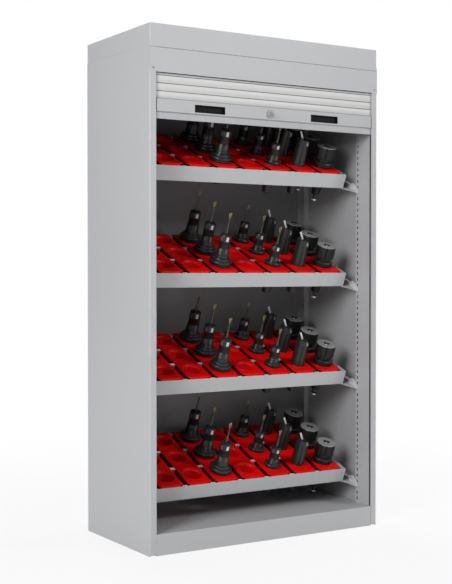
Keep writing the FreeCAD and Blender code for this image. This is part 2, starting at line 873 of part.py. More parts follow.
def hooks(k):
    """Two hooks of the right carrier, in the slots of the front and rear uprights."""
    pair = []
    for y, slot in ((front_slot_y, tray_slot(k)), (rear_slot_y, tray_slot(k) + tray_rise_in_slots)):
        start = upright_face - carrier_gap - carrier_sheet / 2
        reach = upright_face + sheet + hook_reach
        middle = slot_level(slot)
        pair.append(box(start, reach, y - hook_thickness / 2, y + hook_thickness / 2,
                        middle - hook_height / 2, middle + hook_height / 2))
    return pair


def carriers():
    return [fuse([on_tray(tray_carrier(), k)] + hooks(k)) for k in range(tray_count)]


# Tool holders that stand in the sockets, base at the socket's top

def holder(profile, taper_length):
    """Turned holder: steep taper, a shoulder that rests on the socket, then the given profile."""
    end_radius = taper_radius - taper_length * taper_slope_share
    shank = [(end_radius, -taper_length), (taper_radius, 0), (seat_radius, 0)]
    return turned(shank + profile, tool_sides).translated(V(0, 0, socket_rise))


def large_chuck():
    """Collet chuck with a wide coned flange and a long body with its nut on top."""
    return holder([(large_flange_radius, large_seat),
                   (large_flange_radius, large_seat + large_flange_rim),
                   (large_chuck_radius, large_flange_height), (large_nut_radius, large_nut_top)],
                  short_taper_length)


def small_chuck():
    return holder([(small_flange_radius, low_seat), (small_flange_radius, low_seat + small_flange_rim),
                   (small_chuck_radius, small_flange_height), (small_nut_radius, small_nut_top)],
                  long_taper_length)


def boring_bar(low, high):
    """Slim square bar in a chuck."""
    half = bar_thickness / 2
    return box(-half, half, -half, half, low, high)


def bar_tip(end):
    """Three-cornered cutting tip that stands on the end of a boring bar."""
    half = bar_tip_width / 2
    return prism([(-half, end), (half, end), (0, end + bar_tip_length)], "y", -bar_thickness / 2,
                 bar_thickness / 2)


def tipped_bars(chuck_top, length, column):
    """Bars and tips of one column on all trays; those under the drum cover are shorter."""
    bars, tips = [], []
    for k in range(tray_count):
        for row in range(socket_rows):
            under_cover = k == 0 and row == socket_rows - 1
            end = chuck_top + length - under_cover * bar_under_cover_cut
            centre = socket_centre(column, row)
            bars.append(on_tray(boring_bar(chuck_top, end).translated(centre), k))
            tips.append(on_tray(bar_tip(end).translated(centre), k))
    return bars, tips


def boring_head():
    """Tall cutter body with a stepped top."""
    body = holder([(boring_base_radius, low_seat), (boring_top_radius, boring_height)],
                  long_taper_length)
    top = socket_rise + boring_height
    step = box(0, 2 * boring_top_radius, -2 * boring_top_radius, 0, top - boring_step_depth, top + overrun)
    return body.cut(step)


def cutting_plate():
    top = socket_rise + boring_height
    x0 = -boring_top_radius + insert_thickness / 2
    return box(x0, x0 + insert_width, -insert_thickness, 0, top, top + insert_overhang)


def side_plate():
    """Second cutting plate, standing in the step of the cutter body."""
    low = socket_rise + boring_height - boring_step_depth
    return box(insert_thickness, insert_thickness + insert_width, -insert_thickness - running_gap,
               -running_gap, low, low + insert_length)


def face_mill():
    """Face mill on an arbor: flange, neck and wide head."""
    flange = mill_seat + mill_flange_height
    neck = flange + mill_neck_height
    return holder([(mill_flange_radius, mill_seat), (mill_flange_radius, flange),
                   (mill_neck_radius, flange), (mill_neck_radius, neck), (mill_head_radius, neck),
                   (mill_head_radius, neck + mill_head_height)], long_taper_length)


def pull_stud():
    """Stud screwed into the small end of the taper."""
    end = V(0, 0, socket_rise - long_taper_length)
    return rod(stud_radius, stud_length, end, V(0, 0, -1), tool_sides)


def main():
    os.makedirs("parts", exist_ok=True)

    side = side_panel()
    save("side_panel_right", [side])
    save("side_panel_left", [mirrored(side)])
    save("back_panel", [back_panel()])
    save("top_cap", [top_cap()])
    save("header_fascia", [header_fascia()])
    save("fascia_screws", fascia_screws())
    save("drum_cover", [drum_cover()])
    save("floor_pan", [floor_pan()])
    save("floor_ribs", floor_ribs())
    save("keeper_plate", [keeper_plate()])
    corners = [base_corner(x, y) for x in (-1, 1) for y in (-1, 1)]
    save("base_corners", [corner for corner, foot in corners])
    save("levelling_feet", [foot for corner, foot in corners])

    all_levels = [slot_level(number) for number in range(slot_count)]
    save("front_upright_right", [front_upright(all_levels)])
    save("front_upright_left", [mirrored(front_upright(used_levels(0)))])
    for name, post in (("rear_upright", rear_upright()), ("guide_rail", guide_rail()),
                       ("drum_bracket", drum_bracket())):
        save(name + "_right", [post])
        save(name + "_left", [mirrored(post)])

    save("drum_axle", [drum_axle()])
    save("torsion_spring", [torsion_spring()])
    save("drum_tube", [tube(drum_radius, drum_radius - drum_wall, drum_half_length)])
    save("drum_discs", drum_discs())
    save("wound_slats", wound_slats())

    save("roll_slats", roll_slats())
    save("slat_end_caps", slat_end_caps())
    save("leader_slats", [leader_slats()])
    save("bottom_rail", [bottom_rail()])
    save("rail_end_caps", rail_end_caps())
    save("closing_strip", [closing_strip()])
    save("handle_cups", handle_cups())
    save("lock_barrel", [lock_barrel()])
    save("lock_plug", [lock_plug()])
    save("lock_key", [lock_key()])
    save("lock_cam", [lock_cam()])

    frame = tray_frame()
    for k in range(tray_count):
        save("tray_frame_%d" % (k + 1), [on_tray(frame, k)])
    empties = [open_socket(row).translated(socket_centre(column, row))
               for column in open_columns for row in range(socket_rows)]
    save("open_sockets", on_all_trays(empties))
    save("filled_sockets", on_all_trays(at_sockets(filled_socket(), filled_columns())))
    right = carriers()
    save("tray_carriers_right", right)
    save("tray_carriers_left", [mirrored(shape) for shape in right])

    large, small, tall, wide = filled_columns()
    save("large_chucks", on_all_trays(at_sockets(large_chuck(), [large])))
    save("small_chucks", on_all_trays(at_sockets(small_chuck(), [small])))
    save("boring_heads", on_all_trays(at_sockets(boring_head(), [tall])))
    save("face_mills", on_all_trays(at_sockets(face_mill(), [wide])))
    long_bars, long_tips = tipped_bars(socket_rise + large_nut_top, long_bar_length, large)
    short_bars, short_tips = tipped_bars(socket_rise + small_nut_top, short_bar_length, small)
    save("boring_bars", long_bars + short_bars)
    save("bar_tips", long_tips + short_tips)
    plates = at_sockets(cutting_plate(), [tall]) + at_sockets(side_plate(), [tall])
    save("cutting_plates", on_all_trays(plates))
    save("pull_studs", on_all_trays(at_sockets(pull_stud(), [wide])))

    print("slats reach", round(coil_places()[-1][1], 2), "tilt", round(math.degrees(tray_tilt), 2))


main()
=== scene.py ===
import math

import bpy
import bmesh
import numpy as np
from mathutils import Matrix, Vector


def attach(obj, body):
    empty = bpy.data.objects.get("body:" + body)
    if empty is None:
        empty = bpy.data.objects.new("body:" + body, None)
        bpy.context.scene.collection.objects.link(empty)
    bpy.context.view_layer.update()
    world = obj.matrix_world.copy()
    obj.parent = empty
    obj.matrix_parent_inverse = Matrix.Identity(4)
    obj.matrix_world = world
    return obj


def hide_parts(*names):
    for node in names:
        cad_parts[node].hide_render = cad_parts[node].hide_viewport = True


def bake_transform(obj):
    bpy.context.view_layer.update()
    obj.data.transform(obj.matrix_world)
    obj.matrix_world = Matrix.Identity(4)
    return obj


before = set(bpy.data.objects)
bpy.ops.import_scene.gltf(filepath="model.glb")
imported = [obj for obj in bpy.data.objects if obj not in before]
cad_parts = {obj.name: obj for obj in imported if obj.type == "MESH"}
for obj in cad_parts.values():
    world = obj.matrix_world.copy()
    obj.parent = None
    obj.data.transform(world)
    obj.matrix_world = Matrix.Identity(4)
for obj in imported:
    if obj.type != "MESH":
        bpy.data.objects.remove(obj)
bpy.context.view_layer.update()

MM = 0.001

# Camera at the photograph's place

camera = bpy.data.objects.new("camera", bpy.data.cameras.new("camera"))
bpy.context.scene.collection.objects.link(camera)
bpy.context.scene.camera = camera
azimuth, elevation = math.radians(-31.966), math.radians(1.060)
camera_back = Vector((math.sin(azimuth) * math.cos(elevation),
                      -math.cos(azimuth) * math.cos(elevation), math.sin(elevation)))
camera.location = (-2.5898, -4.0901, 1.0508)
camera.rotation_mode = "QUATERNION"
camera.rotation_quaternion = (-camera_back).to_track_quat("-Z", "Y")
sensor_mm, focal_pixels, image_height = 36, 1191.3, 584
camera.data.sensor_width = sensor_mm
camera.data.lens = focal_pixels / image_height * sensor_mm
camera.data.clip_start, camera.data.clip_end = 0.05, 60


# Materials

def node(tree, kind, place):
    """New node at its place in the node editor."""
    made = tree.nodes.new(kind)
    made.location = place
    return made


def surface(name, colour, rough=0.45, metal=0.0, tint=0.04, tint_scale=2.5, grain=700.0, bump=0.04,
            rough_range=0.06, bevel=0.0, edge_highlight=0.0, stretch=(1, 1, 1), specular=0.5,
            inner=1.0, inner_axis="Y", inner_sign=1):
    """Principled surface whose colour, roughness and relief vary over the piece.

    Edges within the bevel radius get a painted highlight, lightened by the given share. Faces whose normal
    points against the given axis and sign, which look into the cabinet, get painted shade: their colour is
    multiplied by inner.
    """
    made = bpy.data.materials.new(name)
    made.use_nodes = True
    tree = made.node_tree
    shader = tree.nodes["Principled BSDF"]
    shader.inputs["Metallic"].default_value = metal
    shader.inputs["Specular IOR Level"].default_value = specular
    where = node(tree, "ShaderNodeTexCoord", (-1300, 0))
    scale = node(tree, "ShaderNodeMapping", (-1100, 0))
    scale.inputs["Scale"].default_value = stretch
    tree.links.new(where.outputs["Object"], scale.inputs["Vector"])

    broad = node(tree, "ShaderNodeTexNoise", (-900, 200))
    broad.inputs["Scale"].default_value = tint_scale
    broad.inputs["Detail"].default_value = 3
    tree.links.new(scale.outputs["Vector"], broad.inputs["Vector"])
    ramp = node(tree, "ShaderNodeMapRange", (-700, 200))
    ramp.inputs["To Min"].default_value = 1 - tint
    ramp.inputs["To Max"].default_value = 1 + tint
    tree.links.new(broad.outputs["Fac"], ramp.inputs["Value"])
    blend = node(tree, "ShaderNodeMix", (-450, 200))
    blend.data_type, blend.blend_type = "RGBA", "MULTIPLY"
    blend.inputs[0].default_value = 1
    blend.inputs[6].default_value = (*colour, 1)
    tree.links.new(ramp.outputs["Result"], blend.inputs[7])
    out = blend.outputs[2]

    fine = node(tree, "ShaderNodeTexNoise", (-900, -200))
    fine.inputs["Scale"].default_value = grain
    fine.inputs["Detail"].default_value = 2
    tree.links.new(scale.outputs["Vector"], fine.inputs["Vector"])
    spread = node(tree, "ShaderNodeMapRange", (-700, -100))
    spread.inputs["To Min"].default_value = rough - rough_range
    spread.inputs["To Max"].default_value = rough + rough_range
    tree.links.new(fine.outputs["Fac"], spread.inputs["Value"])
    tree.links.new(spread.outputs["Result"], shader.inputs["Roughness"])
    relief = node(tree, "ShaderNodeBump", (-450, -300))
    relief.inputs["Strength"].default_value = bump
    relief.inputs["Distance"].default_value = 0.0004
    tree.links.new(fine.outputs["Fac"], relief.inputs["Height"])

    if bevel:
        soft = node(tree, "ShaderNodeBevel", (-700, -500))
        soft.samples = 4
        soft.inputs["Radius"].default_value = bevel
        tree.links.new(soft.outputs["Normal"], relief.inputs["Normal"])
        # Painted highlight: edges within the bevel radius are mixed towards a lighter copy of the colour.
        if edge_highlight:
            flat = node(tree, "ShaderNodeNewGeometry", (-900, -600))
            near = node(tree, "ShaderNodeVectorMath", (-500, -600))
            near.operation = "DOT_PRODUCT"
            tree.links.new(soft.outputs["Normal"], near.inputs[0])
            tree.links.new(flat.outputs["Normal"], near.inputs[1])
            edge = node(tree, "ShaderNodeMapRange", (-300, -600))
            edge.inputs["From Min"].default_value = 0.99
            edge.inputs["From Max"].default_value = 0.80
            edge.inputs["To Min"].default_value = 0
            edge.inputs["To Max"].default_value = edge_highlight
            tree.links.new(near.outputs["Value"], edge.inputs["Value"])
            highlight_mix = node(tree, "ShaderNodeMix", (-200, 200))
            highlight_mix.data_type, highlight_mix.blend_type = "RGBA", "MIX"
            highlight_mix.inputs[7].default_value = (*[min(1, c * 1.25 + 0.05) for c in colour], 1)
            tree.links.new(edge.outputs["Result"], highlight_mix.inputs[0])
            tree.links.new(out, highlight_mix.inputs[6])
            out = highlight_mix.outputs[2]
    # Painted shade: faces that look into the cabinet get their colour multiplied by inner.
    if inner < 1:
        facing = node(tree, "ShaderNodeSeparateXYZ", (-700, 500))
        tree.links.new(where.outputs["Normal"], facing.inputs[0])
        side = node(tree, "ShaderNodeMapRange", (-450, 500))
        side.inputs["From Min"].default_value = -0.9 * inner_sign
        side.inputs["From Max"].default_value = -0.1 * inner_sign
        side.inputs["To Min"].default_value = inner
        side.inputs["To Max"].default_value = 1.0
        tree.links.new(facing.outputs[inner_axis], side.inputs["Value"])
        darken = node(tree, "ShaderNodeMix", (-100, 300))
        darken.data_type, darken.blend_type = "RGBA", "MULTIPLY"
        darken.inputs[0].default_value = 1
        tree.links.new(out, darken.inputs[6])
        tree.links.new(side.outputs["Result"], darken.inputs[7])
        out = darken.outputs[2]
    tree.links.new(out, shader.inputs["Base Color"])
    tree.links.new(relief.outputs["Normal"], shader.inputs["Normal"])
    return made


def outer_paint(name, **inner_side):
    """The body's paint; where inner is given, painted shade makes it darker on the faces that look into the
    cabinet.
    """
    return surface(name, (0.515, 0.520, 0.535), rough=0.42, tint=0.02, grain=900, bump=0.05,
                   bevel=0.0012, edge_highlight=0.25, **inner_side)


body_paint = outer_paint("body_paint")
inner_paint = surface("inner_paint", (0.47, 0.475, 0.49), rough=0.45, tint=0.03, grain=900, bump=0.05,
                      bevel=0.0010, edge_highlight=0.3)
# Painted shade inside the cabinet: the back panel's inner faces at half, the side panels' at three
# quarters.
back_paint_inner_shade = outer_paint("back_paint_inner_shade", inner=0.50)
right_paint_inner_shade = outer_paint("right_paint_inner_shade", inner=0.75, inner_axis="X")
left_paint_inner_shade = outer_paint("left_paint_inner_shade", inner=0.75, inner_axis="X", inner_sign=-1)
# Painted shade: the drum cover, which roofs the inside of the cabinet, is near black.
ceiling_painted_shade = surface("ceiling_painted_shade", (0.10, 0.10, 0.105), rough=0.5, tint=0.03, grain=900, bump=0.05)
tray_paint = surface("tray_paint", (0.55, 0.56, 0.57), rough=0.42, tint=0.02, grain=900, bump=0.05,
                     bevel=0.0010, edge_highlight=0.6)
slat_plastic = surface("slat_plastic", (0.65, 0.65, 0.645), rough=0.40, tint=0.015, grain=500, bump=0.03,
                       bevel=0.0005, stretch=(0.1, 1, 1))
cap_plastic = surface("cap_plastic", (0.66, 0.66, 0.655), rough=0.40, tint=0.03, grain=600, bump=0.04)
rail_paint = surface("rail_paint", (0.500, 0.505, 0.515), rough=0.40, tint=0.02, grain=900, bump=0.04,
                     bevel=0.0008, edge_highlight=0.2)
joint_grey = surface("joint_grey", (0.15, 0.15, 0.15), rough=0.6, tint=0.1, grain=400, bump=0.05)
# Black brush strip under the fascia, also painted shade there.
brush_black_shade = surface("brush_black_shade", (0.008, 0.008, 0.008), rough=0.8, tint=0.3, grain=700, bump=0.6,
                      stretch=(4, 1, 0.3), specular=0.1)
# Dark grey plastic of the guides, drum discs and rail end caps, darkened further as painted shade in the
# guide slots and at the bottom rail's ends.
guide_plastic = surface("guide_plastic", (0.10, 0.103, 0.106), rough=0.5, tint=0.06, grain=400, bump=0.06)
# Black plastic of the handle cups; on the face mills it is painted shade in the screw recess.
black_plastic = surface("black_plastic", (0.004, 0.004, 0.004), rough=0.6, tint=0.2, grain=600, bump=0.06,
                        specular=0.2)
red_plastic = surface("red_plastic", (0.78, 0.0010, 0.0010), rough=0.46, tint=0.06, tint_scale=9, grain=260,
                      bump=0.05, rough_range=0.06, specular=0.18)
# Painted shade: the sockets' red plastic, near black on the faces under the lip.
red_painted_shade = surface("red_painted_shade", (0.05, 0.0008, 0.0008), rough=0.6, tint=0.1, tint_scale=9, grain=260,
                    bump=0.05, specular=0.1)
plain_steel = surface("plain_steel", (0.45, 0.45, 0.46), rough=0.35, metal=0.9, tint=0.08, grain=300,
                      bump=0.05, stretch=(1, 1, 6))
lock_metal = surface("lock_metal", (0.50, 0.505, 0.515), rough=0.42, metal=0.1, tint=0.05, grain=500,
                     bump=0.05)
# Painted shade: darker rim and groove of the lock rosette, which is otherwise lock metal.
lock_edge_painted_shade = surface("lock_edge_painted_shade", (0.20, 0.202, 0.206), rough=0.45, tint=0.1, grain=500, bump=0.04)
# Painted shade: near black for the keyway and the screw heads' slots.
slot_painted_shade = surface("slot_painted_shade", (0.05, 0.05, 0.052), rough=0.5, tint=0.1, grain=500, bump=0.04)
holder_steel = surface("holder_steel", (0.014, 0.0165, 0.016), rough=0.30, tint=0.25, tint_scale=30,
                       grain=400, bump=0.02, rough_range=0.05, specular=0.40)
# Matt dark steel of the holders' bands and mill bodies; in the chucks' flange grooves it is painted shade.
holder_matt_and_groove_shade = surface("holder_matt_and_groove_shade", (0.008, 0.0095, 0.009), rough=0.42, tint=0.25, tint_scale=30,
                      grain=900, bump=0.15, rough_range=0.08, specular=0.28)
ground_steel = surface("ground_steel", (0.30, 0.31, 0.31), rough=0.16, metal=1.0, tint=0.10, tint_scale=30,
                       grain=500, bump=0.02, rough_range=0.04)
# Painted highlight: flange rims and chamfers in a lighter copy of the holder steel.
rim_painted_highlight = surface("rim_painted_highlight", (0.030, 0.036, 0.034), rough=0.32, tint=0.2, tint_scale=30, grain=500,
                    bump=0.03, specular=0.45)
side_flat = surface("side_flat", (0.085, 0.088, 0.09), rough=0.35, tint=0.15, tint_scale=40, grain=500,
                    bump=0.03, specular=0.3)
# Painted highlight: pale steel for the flats that face the front, the cutting plates and the face mills'
# screw tips.
pale_steel_painted_highlight = surface("pale_steel_painted_highlight", (0.66, 0.66, 0.65), rough=0.30, metal=0.15, tint=0.05, tint_scale=60,
                     grain=500, bump=0.03)
bar_steel = surface("bar_steel", (0.075, 0.072, 0.065), rough=0.30, metal=0.5, tint=0.15, tint_scale=30,
                    grain=500, bump=0.03)
# Painted light: the cross bars' paint is far lighter than the trays' so that they show bright in the shaded
# gaps.
bar_paint_painted_light = surface("bar_paint_painted_light", (0.90, 0.84, 0.82), rough=0.45, tint=0.03, grain=900, bump=0.05)
mill_top = surface("mill_top", (0.36, 0.36, 0.36), rough=0.38, metal=0.3, tint=0.08, tint_scale=40,
                   grain=600, bump=0.06)
bright_steel = surface("bright_steel", (0.62, 0.62, 0.61), rough=0.22, metal=0.6, tint=0.1, tint_scale=60,
                       grain=500, bump=0.03)
gold = surface("gold", (0.36, 0.30, 0.15), rough=0.30, metal=0.5, tint=0.12, tint_scale=80, grain=500,
               bump=0.04)
rubber = surface("rubber", (0.02, 0.02, 0.02), rough=0.7, tint=0.2, grain=300, bump=0.1)


# Mesh building

def lathe(profile, sides=48):
    """Turned shape about Z from (radius, height[, material slot]) points, closed on the axis.

    All shapes here are units: vertices in millimetres, faces, and a material slot for each face.
    """
    verts, faces, slots = [], [], []
    rings = []
    for point in profile:
        r, z = point[0], point[1]
        if r == 0:
            verts.append((0, 0, z))
            rings.append([len(verts) - 1] * sides)
        else:
            start = len(verts)
            for k in range(sides):
                a = 2 * math.pi * k / sides
                verts.append((r * math.cos(a), r * math.sin(a), z))
            rings.append(list(range(start, start + sides)))
    for (low, high), point in zip(zip(rings, rings[1:]), profile[1:]):
        slot = point[2] if len(point) > 2 else 0
        for k in range(sides):
            n = (k + 1) % sides
            corners = [low[k], low[n], high[n], high[k]]
            face = [c for i, c in enumerate(corners) if c not in corners[:i]]
            if len(face) > 2:
                faces.append(face)
                slots.append(slot)
    return np.array(verts, float), faces, slots


def block(low, high, bevel=0.0, material=0):
    """Box between two corners, with rounded edges where a bevel is given."""
    made = bmesh.new()
    bmesh.ops.create_cube(made, size=1)
    low, high = Vector(low), Vector(high)
    for v in made.verts:
        v.co = Vector([low[i] + (v.co[i] + 0.5) * (high[i] - low[i]) for i in range(3)])
    if bevel:
        bmesh.ops.bevel(made, geom=made.edges[:], offset=bevel, segments=2, affect="EDGES", profile=0.5)
    return unit_of(made, material)


def unit_of(made, material=0):
    """The unit of a bmesh, which is freed."""
    made.verts.index_update()
    verts = np.array([v.co[:] for v in made.verts], float)
    faces = [[v.index for v in f.verts] for f in made.faces]
    made.free()
    return verts, faces, [material] * len(faces)


def prism(points, depth, bevel=0.0):
    """Outline in X and Z, extruded along Y from -depth/2 to depth/2."""
    made = bmesh.new()
    near = [made.verts.new((x, -depth / 2, z)) for x, z in points]
    made.faces.new(near)
    result = bmesh.ops.extrude_face_region(made, geom=made.faces[:])
    for item in result["geom"]:
        if isinstance(item, bmesh.types.BMVert):
            item.co.y = depth / 2
    bmesh.ops.recalc_face_normals(made, faces=made.faces[:])
    if bevel:
        bmesh.ops.bevel(made, geom=made.edges[:], offset=bevel, segments=1, affect="EDGES", profile=0.5)
    return unit_of(made)


def moved(unit, matrix):
    """Copy of a unit, moved by a matrix."""
    verts, faces, slots = unit
    m = np.array(matrix, float)
    return verts @ m[:3, :3].T + m[:3, 3], faces, slots


def joined(units):
    """Several units as one."""
    verts, faces, slots, base = [], [], [], 0
    for v, f, s in units:
        verts.append(v)
        faces.extend([[i + base for i in face] for face in f])
        slots.extend(s)
        base += len(v)
    return np.vstack(verts), faces, slots


def piece(name, unit, materials, body="cabinet", replaces=(), sharp=32):
    """One object in the frame from a unit; edges over the sharp angle in degrees stay sharp."""
    verts, faces, slots = unit
    mesh = bpy.data.meshes.new(name)
    mesh.from_pydata((verts * MM).tolist(), [], faces)
    for m in materials:
        mesh.materials.append(m)
    mesh.polygons.foreach_set("material_index", slots)
    made = bmesh.new()
    made.from_mesh(mesh)
    bmesh.ops.recalc_face_normals(made, faces=made.faces[:])
    limit = math.radians(sharp)
    for face in made.faces:
        face.smooth = True
    for edge in made.edges:
        edge.smooth = len(edge.link_faces) == 2 and edge.calc_face_angle(0) < limit
    made.to_mesh(mesh)
    made.free()
    obj = bpy.data.objects.new(name, mesh)
    bpy.context.scene.collection.objects.link(obj)
    if body:
        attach(obj, body)
    if replaces:
        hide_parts(*replaces)
    return obj


# Places on the trays, in millimetres

body_depth = 525.0
front = -body_depth / 2
slot_first, slot_pitch, slot_count = 99.0, 24.0, 67
front_slot_y, rear_slot_y = -171.8, 220.2
tray_count, row_count = 4, 3
hook_slot, slots_per_tray, tilt_slots = 2, 17, 7
tray_rise = 75.5
tray_tilt = math.atan2(tilt_slots * slot_pitch, rear_slot_y - front_slot_y)
tray_y = front + 112.5
tray_depth = (rear_slot_y - front_slot_y) / math.cos(tray_tilt) - 39.5
tray_margin = 3.0
column_pitch, row_pitch = 125.0, (tray_depth - 2 * tray_margin) / row_count
block_half_x = column_pitch / 2 - 10.2
socket_top, socket_bottom = 9.0, -35.0


def hook_height(k):
    """Height of the front hooks of tray k, counted from the top."""
    return slot_first + slot_pitch * (hook_slot + slots_per_tray * (tray_count - 1 - k))


def tray_place(k):
    """Place of the front edge of tray k, with X along it and Y up its slope."""
    level = hook_height(k) + tray_rise
    return Matrix.Translation((0, tray_y, level)) @ Matrix.Rotation(tray_tilt, 4, "X")


def socket_place(k, column, row, lift=0.0):
    """Place over the middle of a socket, lifted along the socket's axis."""
    x = (column - 3) * column_pitch
    v = tray_margin + (row + 0.5) * row_pitch
    return tray_place(k) @ Matrix.Translation((x, v, lift))


def at_sockets(unit, columns, lift=0.0):
    """Copies of a unit in every row of the columns, on all trays."""
    return joined([moved(unit, socket_place(k, column, row, lift))
                   for k in range(tray_count) for column in columns for row in range(row_count)])


# Carriers at the trays' ends: floor, low sloping web, upright tab with a rounded nose, and hooks

def slab(corners, drop):
    """Sheet between four corners and the same corners lower down."""
    verts = [tuple(c) for c in corners] + [(x, y, z - drop) for x, y, z in corners]
    faces = [[0, 1, 2, 3], [7, 6, 5, 4], [0, 4, 5, 1], [1, 5, 6, 2], [2, 6, 7, 3], [3, 7, 4, 0]]
    return np.array(verts, float), faces, [0] * len(faces)


def carriers(side):
    """All carriers of one side; side is 1 for the right and -1 for the left."""
    nose, rear = -53.2, 380.0
    floor_outline = [(450.0, 2.0), (456.0, 0.0), (500.7, nose), (500.7, rear), (450.0, rear)]
    tab_outline = [(nose, -62.0), (rear, -62.0), (rear, -46.0), (16.0, -46.0), (2.0, -37.0),
                   (-6.0, -33.6), (-14.0, -33.0), (-44.0, -42.0), (-50.0, -46.0), (nose, -51.0)]
    turn = Matrix.Rotation(math.radians(90), 4, "Z")
    floor_plate = moved(prism(floor_outline, 2.0, 0.3),
                        Matrix.Translation((0, 0, -61.0)) @ Matrix.Rotation(math.radians(-90), 4, "X"))
    tab = moved(prism(tab_outline, 2.0, 0.3), Matrix.Translation((499.7, 0, 0)) @ turn)
    web = slab([(456.3, 0.4, -24.0), (498.8, -22.0, -42.0), (498.8, rear, -46.0),
                (456.3, rear, -24.0)], 2.0)
    end_edge = block((455.4, -1.4, -66.0), (457.4, 0.6, -1.0), 0.3)
    hook = block((499.7, -1.2, -5.0), (508.5, 1.2, 5.0), 0.3)
    units = []
    for k in range(tray_count):
        units += [moved(unit, tray_place(k)) for unit in (floor_plate, tab, web, end_edge)]
        for y, rise in ((front_slot_y, 0), (rear_slot_y, tilt_slots * slot_pitch)):
            units.append(moved(hook, Matrix.Translation((0, y, hook_height(k) + rise))))
    verts, faces, slots = joined(units)
    verts[:, 0] *= side
    return verts, faces, slots


for word, side in (("right", 1), ("left", -1)):
    piece("tray_carriers_bent_" + word, carriers(side), [tray_paint],
          replaces=["tray_carriers_" + word], sharp=25)


# Sockets: narrow block under a thin lip, with a raised rim and a countersunk bore

def socket_unit(sides=64):
    """Closed ring of loops from the bore's foot over the lip and down the outside.

    The outside below the lip has material slot 1, painted shade, except for the wall that meets the next
    row's block.
    """
    reach_y = row_pitch / 2 - 0.15
    corner = math.atan2(reach_y, block_half_x)
    angles = [2 * math.pi * k / sides for k in range(sides)]
    for c in (corner, math.pi - corner, math.pi + corner, 2 * math.pi - corner):
        nearest = min(range(sides), key=lambda k: abs(angles[k] - c))
        angles[nearest] = c

    def ring(radius, z):
        return [(radius * math.cos(a), radius * math.sin(a), z) for a in angles]

    def rectangle(inset_x, inset_y, z):
        half_x, half_y = block_half_x - inset_x, reach_y - inset_y
        points = []
        for a in angles:
            t = min(half_x / max(abs(math.cos(a)), 1e-9), half_y / max(abs(math.sin(a)), 1e-9))
            points.append((t * math.cos(a), t * math.sin(a), z))
        return points

    loops = [ring(35.0, socket_bottom), ring(35.0, 2.0), ring(39.6, 8.2), ring(40.2, 9.0), ring(42.4, 9.0),
             ring(43.0, 8.7), ring(43.2, 8.3), ring(44.0, 8.3), ring(44.4, 8.6), rectangle(1.4, 1.4, 8.6),
             rectangle(0.5, 0.5, 8.3), rectangle(0.1, 0.1, 7.6), rectangle(0.0, 0.0, 6.0),
             rectangle(9.0, 0.0, 5.6), rectangle(9.0, 0.0, socket_bottom)]
    verts = [p for loop in loops for p in loop]
    faces = []
    count = len(loops)
    slots = []
    for i in range(count):
        low, high = i * sides, ((i + 1) % count) * sides
        for k in range(sides):
            n = (k + 1) % sides
            faces.append([low + k, low + n, high + n, high + k])
            end_wall = all(abs(abs(verts[high + v][1]) - reach_y) < 0.01 for v in (k, n))
            slots.append(1 if i >= count - 3 and not (end_wall and i == count - 2) else 0)
    return np.array(verts, float), faces, slots


open_columns = [0, 1, 3]
large_column, small_column, tall_column, wide_column = 2, 4, 5, 6
socket = socket_unit()
piece("red_sockets_open", at_sockets(socket, open_columns), [red_plastic, red_painted_shade],
      replaces=["open_sockets"])
piece("red_sockets_holding", at_sockets(socket, [large_column, small_column, tall_column, wide_column]),
      [red_plastic, red_painted_shade], replaces=["filled_sockets"])


# Painted cross bars that show in the gaps between the socket columns, far lighter than the trays as painted
# light

def bar_tops():
    """A plate at each seam between rows, and one at the front of each gap between columns."""
    seam_plate = block((-10.2, -20.0, 5.6), (10.2, -5.0, 6.8), 0.4)
    front_plate = block((-10.0, 2.2, -4.6), (10.0, 9.0, -0.4), 0.6)
    units = []
    for k in range(tray_count):
        for gap in range(-3, 3):
            x = (gap + 0.5) * column_pitch
            units.append(moved(front_plate, tray_place(k) @ Matrix.Translation((x, 0, 0))))
            for row in range(1, row_count):
                v = tray_margin + row * row_pitch
                units.append(moved(seam_plate, tray_place(k) @ Matrix.Translation((x, v, 0))))
    return joined(units)


piece("cross_bar_tops", bar_tops(), [bar_paint_painted_light])


# Tool holders, with their base on the socket's top

gauge_radius, taper_slope = 34.9, 3.5 / 24
large_chuck_top, small_chuck_top = 131.0, 87.0
large_bar_length, small_bar_length = 62.0, 53.0
short_bar_cut = 10.0


def taper(length):
    """Steep taper below the shoulder that rests on the socket."""
    end = gauge_radius - length * taper_slope
    return [(0, -length), (end - 5.0, -length), (end - 4.6, -length + 2.0), (end - 1.2, -length + 2.2),
            (end, -length + 3.4), (gauge_radius, 0.0)]


def flats(unit, low, high, radius, width=12.0, turn=-97.0, front_slot=4):
    """Mill six flats into the turned wall between two heights; the front one has its own material slot, a
    painted highlight on the nuts.
    """
    count, side_slot = 6, 3
    verts, faces, slots = unit
    reach = math.degrees(math.asin(width / 2 / radius))
    size = np.hypot(verts[:, 0], verts[:, 1])
    inside = (verts[:, 2] > low) & (verts[:, 2] < high) & (size > radius - 3)
    angle = np.degrees(np.arctan2(verts[:, 1], verts[:, 0]))
    off = (angle - turn + 180 / count) % (360 / count) - 180 / count
    chosen = inside & (np.abs(off) < reach)
    shrink = radius * math.cos(math.radians(reach)) / np.cos(np.radians(off))
    factor = np.where(chosen, np.minimum(1.0, shrink / np.maximum(size, 1e-9)), 1.0)
    verts[:, 0] *= factor
    verts[:, 1] *= factor
    for i, face in enumerate(faces):
        if all(chosen[v] for v in face):
            middle = sum(angle[v] for v in face) / len(face)
            slots[i] = front_slot if abs(middle - turn) < 180 / count else side_slot
    return verts, faces, slots


